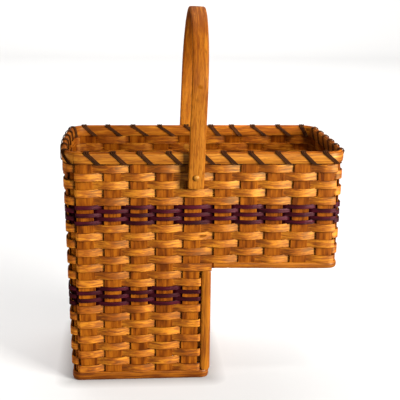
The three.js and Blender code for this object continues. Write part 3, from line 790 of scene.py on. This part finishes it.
# Stakes
def stake(node, line, place, cross=None):
    """A stake along a line: a cross stake with its number, or else a long stake."""
    eased, along = softened(np.array(line), step=1.6, spread=2.2)
    forward = unit(np.gradient(eased, axis=0))
    right = np.stack([forward[:, 1], -forward[:, 0]], axis=-1)
    section = flat_section(STAKE_WIDTH, STAKE_THICKNESS, STAKE_CROWN, 0.02)
    sections = np.repeat(section[None], len(eased), axis=0)
    sections[..., 0] += wander(len(eased), along[-1], STAKE_PLAY, 40.0)[:, None]
    zeros = np.zeros(len(eased))
    if cross is not None:
        centre = np.stack([zeros + place, eased[:, 0], eased[:, 1]], axis=-1)
        out = np.stack([zeros, right[:, 0], right[:, 1]], axis=-1)
        across = np.tile([1.0, 0.0, 0.0], (len(eased), 1))
    else:
        centre = np.stack([eased[:, 0], zeros + place, eased[:, 1]], axis=-1)
        out = np.stack([right[:, 0], zeros, right[:, 1]], axis=-1)
        across = np.tile([0.0, 1.0, 0.0], (len(eased), 1))
    # The inner face of each stake carries painted shade
    obj = swept(
        f"{node}_reed", centre, across, out, sections, along, STAKE_INNER_PAINTED_SHADE, edge_darkening=STAKE_EDGE_DARKENING
    )
    follow_walls(obj, cross)
    dress(obj, node, STAKE_REED)


def follow_walls(obj, cross):
    """Shifts a stake's points so that it follows the corners and the bowed ends of the walls."""
    points = np.empty(3 * len(obj.data.vertices))
    obj.data.vertices.foreach_get("co", points)
    points = points.reshape(-1, 3) / MM
    axis, sides = 0, ((-1.0, 3), (1.0, 1))
    if cross is not None:
        axis, sides = 1, ((-1.0, 0), (1.0, 2))
        drift = BACK_DRIFT[cross] * above_tread(points[:, 2])
        points[:, 0] += drift * smooth((points[:, 1] / back_y - 0.8) / 0.15)
        points[:, 0] += slide_at(cross, points[:, 2]) * smooth((-points[:, 1] / back_y - 0.8) / 0.15)
    heights = np.round(points[:, 2])
    for z in np.unique(heights):
        rows = np.where(heights == z)[0]
        loop = loop_at(float(z))
        half = back_y if axis else -left_wall(z)
        for sign, number in sides:
            own = rows[np.sign(points[rows, axis]) == sign]
            near = smooth((np.abs(points[own, axis]) / half - 0.8) / 0.15)
            wall = loop.wall_at(number, 1 - axis, points[own, 1 - axis])
            points[own, axis] += (wall - sign * half) * near
    obj.data.vertices.foreach_set("co", (points * MM).ravel())
    obj.data.update()


def cross_stakes():
    for i, (node, x) in enumerate(zip(CROSS_STAKES, cross_x)):
        low, high = box_of(node)
        floor = low[2] + WALL_STAKE
        line = [(front_y, high[2]), (front_y, floor), (back_y, floor), (back_y, high[2])]
        stake(node, line, x, i)


def long_stakes():
    base = box_of("cross_stake_1")[0][2] + WALL_STAKE
    tread = box_of("cross_stake_6")[0][2] + WALL_STAKE
    foot_left = box_of("leg_weaver_1")[0][0] + WEAVER_FACE
    tread_right = box_of("middle_weaver_1")[1][0] - WEAVER_FACE
    for j, (node, y) in enumerate(zip(LONG_STAKES, end_y)):
        low, high = box_of(node)
        line = [(low[0] + WALL_STAKE, high[2]), (foot_left, base)]
        for i, x in enumerate(cross_x):
            floor = base if i < LEG_STAKES else tread
            height = floor + (-PLAIT_REACH if (i + j) % 2 == 0 else PLAIT_REACH)
            if i == LEG_STAKES:
                line += [(riser_x, base), (riser_x, height - STEP_BEND)]
            line += [(x - PLAIT_HALF, height), (x + PLAIT_HALF, height)]
        line += [(tread_right, tread), (high[0] - WALL_STAKE, high[2])]
        stake(node, line, y)


# Bands over the edges
def band(node, loop, start, end, reach, section, material, lift=0.0, painted_inner_shade=0.0, tone=0.5, shaded=0.0):
    """A strip laid round the walls, with painted shade over the shaded length at both its ends."""
    low, high = box_of(node)
    s = loop.stops(start, end)
    if shaded:
        edge = np.array([shaded - 0.3, shaded + 0.3])
        s = np.unique(np.concatenate([s, start + edge, end - edge]))
    # Painted shadow over the shaded length at both ends, also lower in tone
    darkening = TUCK_PAINTED_SHADE * (np.minimum(s - start, end - s) < shaded)
    plan, normal = loop.at(s, np.full(len(s), reach))
    out = lifted(normal, 0.0)
    across = np.tile([0.0, 0.0, 1.0], (len(s), 1))
    centre = lifted(plan, (low[2] + high[2]) / 2 + lift)
    tones = tone - STEP_SLIT_PAINTED_SHADE * (darkening > 0)
    obj = swept(f"{node}_reed", centre, across, out, section, s, painted_inner_shade, tones, painted_outer_shade=darkening)
    dress(obj, node, material)


def bands():
    low, high = box_of("base_band")
    leg = loop_at(middle_of("base_band")[2], True)
    start = leg.on_side(2, 0, cross_x[2])
    section = oval_section(high[2] - low[2], BAND_THICKNESS)
    end = start + leg.total - END_GAP
    band("base_band", leg, start + END_GAP, end, BAND_REACH, section, BAND_REED, tone=-0.1)
    low, high = box_of("tread_band")
    upper = loop_at(middle_of("tread_band")[2])
    first = low[0] - STEP_CLOSING
    start, end = upper.on_side(0, 0, first), upper.on_side(2, 0, first)
    # A painted shadow stands for the slit where the row that stops at the step ends over the tread band
    slit = box_of("step_weaver")[1][0] + STEP_ROW_REACH - first + STEP_SLIT
    section = oval_section(high[2] - low[2], BAND_THICKNESS)
    band("tread_band", upper, start, end, BAND_REACH, section, BAND_REED, tone=0.9, shaded=slit)
    for side, facing in (("front", -1.0), ("back", 1.0)):
        riser_strip(f"riser_strip_{side}", facing)


def riser_strip(node, facing):
    """The half-round strip over one corner of the riser, narrower at both ends."""
    low, high = box_of(node)
    z = np.arange(low[2], high[2], 2.0)
    z = np.append(z, high[2])
    x = (low[0] + high[0]) / 2 - RISER_STRIP_SHIFT
    y = (low[1] + high[1]) / 2 - facing * RISER_STRIP_INSET
    centre = np.stack([np.full(len(z), x), np.full(len(z), y), z], axis=-1)
    out = np.tile([0.0, facing, 0.0], (len(z), 1))
    across = np.tile([1.0, 0.0, 0.0], (len(z), 1))
    nearest_end = np.minimum(z - low[2], high[2] - z)
    narrow = 0.72 + 0.28 * np.sqrt(np.clip(nearest_end / 5.0, 0, 1))
    section = oval_section(high[0] - low[0] + RISER_STRIP_EASE, BAND_THICKNESS)
    section[-2:, 1] -= RISER_STRIP_DEPTH
    sections = np.repeat(section[None], len(z), axis=0)
    sections[..., 0] *= narrow[:, None]
    obj = swept(f"{node}_reed", centre, across, out, sections, z, tone=np.full(len(z), 1.1))
    dress(obj, node, BAND_REED)


# Rim
def rim():
    loop = loop_at(rim_z)
    # Name, side, place of the seam, its gap and the tone
    outer = ("outer_rim", 1.0, loop.on_side(0, 0, RIM_SEAM), 0.4, 0.5)
    inner = ("inner_rim", -1.0, loop.on_side(2, 0, cross_x[6]), 0.1, -0.4)
    for node, facing, start, seam, tone in (outer, inner):
        low, high = box_of(node)
        section = flat_section(high[2] - low[2] + RIM_TUCK, RIM_THICKNESS, RIM_CROWN)
        section = section * np.array([1.0, facing])
        end = start + loop.total - seam
        reach = facing * RIM_REACH
        # The faces towards the inside get painted shade
        band(node, loop, start + seam, end, reach, section, RIM_REED, -RIM_TUCK / 2, RIM_INNER_PAINTED_SHADE, tone)
    turn = np.linspace(0, 2 * math.pi, 13)[:-1]
    section = np.stack([np.sin(turn) * FILLER_HALF_HEIGHT, np.cos(turn) * FILLER_HALF_WIDTH], axis=-1)
    start = loop.on_side(2, 0, cross_x[7])
    end = start + loop.total - END_GAP
    band("rim_filler", loop, start + END_GAP, end, 0.0, section, STAKE_REED, -FILLER_SINK)


def lash_section():
    """Strands laid side by side: a scalloped outer face on a flat back."""
    across = np.linspace(-1, 1, 6 * LASH_STRANDS + 1)
    scallop = np.abs(np.sin((across + 1) / 2 * math.pi * LASH_STRANDS)) ** 0.6
    out = LASH_THICKNESS * (scallop - 0.5)
    face = np.stack([across * LASH_WIDTH / 2, out], axis=-1)
    back = np.array([[LASH_WIDTH * 0.46, -LASH_THICKNESS / 2], [-LASH_WIDTH * 0.46, -LASH_THICKNESS / 2]])
    return np.concatenate([face, back])


def lashing():
    """One strip wound round the rim, up the inside and slanting down the outside, once in each gap."""
    loop = loop_at(rim_z)
    foot = box_of("outer_rim")[0][2] - RIM_TUCK - 0.2
    top = rim_z + 3.0
    shoulder = rim_z + 0.4
    crown = 2.6
    marks = loop.stakes(cross_x)
    counts = [len(cross_x), len(end_y)] * 2
    gaps = []
    first = 0
    for side, count in enumerate(counts):
        own = marks[first:first + count]
        gaps += list((own[1:] + own[:-1]) / 2) + [loop.corner(side)]
        first += count
    gaps = np.array(gaps) + LASH_DRIFT
    line = []
    for i, gap in enumerate(gaps):
        after = gaps[i + 1] if i + 1 < len(gaps) else gaps[0] + loop.total
        rise = after - LASH_SLANT
        line += [(gap - LASH_TAIL, LASH_REACH, foot), (gap + LASH_TAIL, LASH_REACH - 1.0, foot - 0.5)]
        line += [(gap, -LASH_REACH, foot), (rise, -LASH_REACH, shoulder)]
        line += [(rise, -crown, top), (rise, crown, top), (rise, LASH_REACH, shoulder)]
    line.append((gaps[0] + loop.total - LASH_TAIL, LASH_REACH, foot))
    eased, along = softened(np.array(line), step=0.9, spread=1.3)
    plan, normal = loop.at(eased[:, 0], eased[:, 1])
    steps = unit(np.gradient(eased[:, 1:], axis=0))
    out = lifted(normal * -steps[:, 1:], 0.0)
    out[:, 2] = steps[:, 0]
    across = lifted(np.stack([-normal[:, 1], normal[:, 0]], axis=-1), 0.0)
    obj = swept("rim_lashing_strands", lifted(plan, eased[:, 2]), across, out, lash_section(), along)
    dress(obj, "rim_lashing", LASH_REED)


# Handle
def rounded_section(width, thickness, radius, crown):
    """Outline of a flat bar with rounded edges and slightly crowned faces."""
    points = []
    for cx, cy, start in ((1, 1, 0), (-1, 1, 90), (-1, -1, 180), (1, -1, 270)):
        for turn in np.radians(np.linspace(start, start + 90, 5)):
            x = cx * (width / 2 - radius) + radius * math.cos(turn)
            y = cy * (thickness / 2 - radius) + radius * math.sin(turn)
            points.append((x, y))
        if start in (0, 180):
            face = cy * thickness / 2
            points += [(cx * width * share, face + cy * crown) for share in (0.2, 0.0, -0.2)]
    return np.array(points)


def handle():
    """The bent bow: two straight legs and a half round between them."""
    pin = middle_of("pivot_pin_front")
    high = box_of("handle")[1]
    span = high[1] - HANDLE_THICKNESS / 2
    rise = (high[2] - pin[2]) - HANDLE_THICKNESS / 2 - 0.4
    bow = rise - span
    turn = np.linspace(math.pi, 0, 72)
    line = [(-span, -HANDLE_TAIL)]
    line += [(span * math.cos(t), bow + span * math.sin(t)) for t in turn]
    line += [(span, -HANDLE_TAIL)]
    eased, along = softened(np.array(line), step=2.0, spread=4.0)
    forward = unit(np.gradient(eased, axis=0))
    zeros = np.zeros(len(eased))
    centre = np.stack([zeros, eased[:, 0], eased[:, 1]], axis=-1)
    out = np.stack([zeros, -forward[:, 1], forward[:, 0]], axis=-1)
    across = np.tile([1.0, 0.0, 0.0], (len(eased), 1))
    section = rounded_section(HANDLE_WIDTH, HANDLE_THICKNESS, HANDLE_ROUNDING, HANDLE_CROWN)
    sections = np.repeat(section[None], len(eased), axis=0)
    from_end = np.minimum(along, along[-1] - along)
    rounded = np.sqrt(np.clip(1 - (1 - np.clip(from_end / 2.0, 0, 1)) ** 2, 0, 1))
    sections[..., 0] *= (1 - 0.07 * (1 - rounded))[:, None]
    sections[..., 1] *= (1 - 0.2 * (1 - rounded))[:, None]
    lean = np.array(Matrix.Rotation(HANDLE_LEAN, 3, "Y"))
    centre = centre @ lean.T + np.array([pin[0], 0.0, pin[2]])
    # Painted light: the bow is lighter towards its feet and darker over the top
    tone = 1.3 - 1.9 * smooth(from_end / HANDLE_PAINTED_LIGHT_FADE)
    across, out = across @ lean.T, out @ lean.T
    obj = swept("handle_bow", centre, across, out, sections, along, tone=tone, knot=HANDLE_KNOT)
    dress(obj, "handle", HANDLE_WOOD, "handle")


# Pins
def turned(name, profile, centre, facing, steps=40):
    """A body turned about the Y axis, from pairs of radius and distance along it."""
    profile = np.array(profile)
    turn = np.linspace(0, 2 * math.pi, steps, endpoint=False)
    rings = np.empty((len(profile), steps, 3))
    rings[..., 0] = centre[0] + profile[:, :1] * np.cos(turn)
    rings[..., 1] = centre[1] + facing * profile[:, 1:]
    rings[..., 2] = centre[2] + profile[:, :1] * np.sin(turn)
    points = rings.reshape(-1, 3)
    faces = []
    for i in range(len(profile) - 1):
        for j in range(steps):
            k = (j + 1) % steps
            faces.append([i * steps + j, i * steps + k, (i + 1) * steps + k, (i + 1) * steps + j])
    faces.append(list(range(steps)))
    faces.append(list(range((len(profile) - 1) * steps, len(profile) * steps))[::-1])
    grain = np.stack([points[:, 0], points[:, 2], points[:, 1] * 0.1], axis=-1) * MM
    stain_tone_and_shade = np.zeros((len(points), 3))
    stain_tone_and_shade[:, 1] = 0.5
    # The part inside the wall's middle line is painted dark: painted shade inside the basket
    stain_tone_and_shade[:, 2] = np.repeat(np.where(profile[:, 1] < 0.0, 1.0, 0.0), steps)
    return new_piece(name, points, faces, grain, stain_tone_and_shade)


def pins():
    """Each pin has a plate inside the wall, a collar under the handle and a domed head."""
    for side, facing in (("front", -1.0), ("back", 1.0)):
        low, high = box_of(f"pivot_pin_{side}")
        centre = np.array([(low[0] + high[0]) / 2, facing * back_y, (low[2] + high[2]) / 2])
        reach = max(abs(low[1]), abs(high[1])) - back_y
        foot = min(abs(low[1]), abs(high[1])) - back_y
        head = reach - PIN_DOME
        first, last = PIN_COLLAR_START, head - HANDLE_THICKNESS - PIN_PLAY
        plate = foot + PIN_PLATE
        profile = [(PIN_HEAD - 0.4, foot), (PIN_HEAD, foot + 0.3), (PIN_HEAD, plate - 0.2)]
        profile += [(PIN_HEAD - 0.3, plate), (PIN_SHAFT, plate)]
        profile += [(PIN_SHAFT, first), (PIN_COLLAR - 0.4, first), (PIN_COLLAR, first + 0.4)]
        profile += [(PIN_COLLAR, last - 0.4), (PIN_COLLAR - 0.4, last), (PIN_SHAFT, last)]
        profile += [(PIN_SHAFT, head), (PIN_HEAD - 0.2, head)]
        turns = np.linspace(0.0, 1.52, 9)
        profile += [(PIN_HEAD * math.cos(t), head + PIN_DOME * math.sin(t)) for t in turns]
        pin = turned(f"pivot_pin_{side}_brass", profile, centre, facing)
        dress(pin, f"pivot_pin_{side}", PIN_BRASS)


weave()
cross_stakes()
long_stakes()
bands()
rim()
lashing()
handle()
pins()


# Floor, light and camera
def pale_floor():
    """A pale floor that curves up into a backdrop far behind the basket."""
    mesh = bpy.data.meshes.new("floor")
    bend = [(5.0 + 1.2 * math.sin(t), 1.2 - 1.2 * math.cos(t)) for t in np.linspace(0, math.pi / 2, 13)]
    profile = [(-4.0, 0.0)] + bend + [(6.2, 4.0)]
    points = [(x, y, z) for y, z in profile for x in (-6.0, 6.0)]
    faces = [(2 * i, 2 * i + 1, 2 * i + 3, 2 * i + 2) for i in range(len(profile) - 1)]
    mesh.from_pydata(points, [], faces)
    mesh.polygons.foreach_set("use_smooth", np.ones(len(faces), bool))
    floor = bpy.data.objects.new("floor", mesh)
    bpy.context.scene.collection.objects.link(floor)
    material = bpy.data.materials.new("pale floor")
    material.use_nodes = True
    shader = material.node_tree.nodes["Principled BSDF"]
    shader.inputs["Base Color"].default_value = (0.38, 0.375, 0.37, 1.0)
    shader.inputs["Roughness"].default_value = 0.8
    shader.inputs["Emission Color"].default_value = (1.0, 1.0, 1.0, 1.0)
    tree = material.node_tree
    place = tree.nodes.new("ShaderNodeNewGeometry")
    split = tree.nodes.new("ShaderNodeSeparateXYZ")
    tree.links.new(place.outputs["Position"], split.inputs[0])
    # The glow of the studio floor fades out close to the leg and under it: a painted contact shadow
    low, high = box_of("base_band")
    away = []
    for k, label in enumerate(("X", "Y")):
        off = math_node(tree, "SUBTRACT", split.outputs[label], float(low[k] + high[k]) / 2 * MM)
        off = math_node(tree, "ABSOLUTE", off, 0.0)
        off = math_node(tree, "SUBTRACT", off, float(high[k] - low[k]) / 2 * MM)
        off = math_node(tree, "MAXIMUM", off, 0.0)
        away.append(math_node(tree, "MULTIPLY", off, off))
    gap = math_node(tree, "SQRT", math_node(tree, "ADD", away[0], away[1]), 0.0)
    tree.links.new(stretched(tree, gap, -0.004, 0.03, 0.0, 0.38), shader.inputs["Emission Strength"])
    mesh.materials.append(material)
    floor.visible_diffuse = False
    floor.visible_glossy = False


def area_light(name, place, target, size, power, colour):
    data = bpy.data.lights.new(name, "AREA")
    data.shape = "SQUARE"
    data.size = size
    data.energy = power
    data.color = colour
    light = bpy.data.objects.new(name, data)
    light.location = place
    light.rotation_mode = "QUATERNION"
    light.rotation_quaternion = (Vector(target) - Vector(place)).to_track_quat("-Z", "Y")
    bpy.context.scene.collection.objects.link(light)
    return light


def studio_light():
    world = bpy.data.worlds.new("studio")
    world.use_nodes = True
    background = world.node_tree.nodes["Background"]
    background.inputs["Color"].default_value = (1.0, 1.0, 1.0, 1.0)
    background.inputs["Strength"].default_value = 0.17
    bpy.context.scene.world = world
    target = (0.0, 0.0, 0.22)
    area_light("key light", (4.16, -3.15, 1.66), target, 2.4, 935.0, (1.0, 0.98, 0.95))
    area_light("front fill", (0.1, -2.1, 1.0), target, 0.5, 4.0, (1.0, 0.98, 0.95))
    left = area_light("left fill", (-1.65, 0.0, 0.27), (-0.22, 0.0, 0.2), 0.5, 25.0, (1.0, 0.98, 0.95))
    left.visible_glossy = False
    inside = area_light("inside fill", (0.26, -0.17, 0.95), (0.13, 0.1, 0.3), 0.25, 0.7, (1.0, 0.98, 0.95))
    inside.data.spread = math.radians(36.0)
    inside.visible_glossy = False
    overhead = area_light("overhead light", (0.0, 3.3, 3.4), (0.0, 2.9, 0.0), 5.0, 290.0, (1.0, 1.0, 1.0))
    overhead.visible_glossy = False


# The photograph's view, fitted on the rim, the walls' edges and the handle
FOCAL_PIXELS = 882.6
FRAME_PIXELS = 400.0
CAMERA_PLACE = Vector((-0.1201, -1.4702, 0.6727))
CAMERA_YAW = math.radians(4.723)
CAMERA_PITCH = math.radians(15.034)
CAMERA_ROLL = math.radians(0.816)


def photo_camera():
    data = bpy.data.cameras.new("camera")
    data.sensor_width = 36.0
    data.lens = 36.0 * FOCAL_PIXELS / FRAME_PIXELS
    camera = bpy.data.objects.new("camera", data)
    forward = Vector((
        math.sin(CAMERA_YAW) * math.cos(CAMERA_PITCH),
        math.cos(CAMERA_YAW) * math.cos(CAMERA_PITCH),
        -math.sin(CAMERA_PITCH),
    ))
    level = Vector((math.cos(CAMERA_YAW), -math.sin(CAMERA_YAW), 0.0))
    rise = level.cross(forward)
    right = math.cos(CAMERA_ROLL) * level + math.sin(CAMERA_ROLL) * rise
    up = math.cos(CAMERA_ROLL) * rise - math.sin(CAMERA_ROLL) * level
    turn = Matrix((right, up, -forward)).transposed()
    camera.matrix_world = Matrix.Translation(CAMERA_PLACE) @ turn.to_4x4()
    bpy.context.scene.collection.objects.link(camera)
    bpy.context.scene.camera = camera


pale_floor()
studio_light()
photo_camera()
bpy.context.scene.view_settings.view_transform = "Standard"
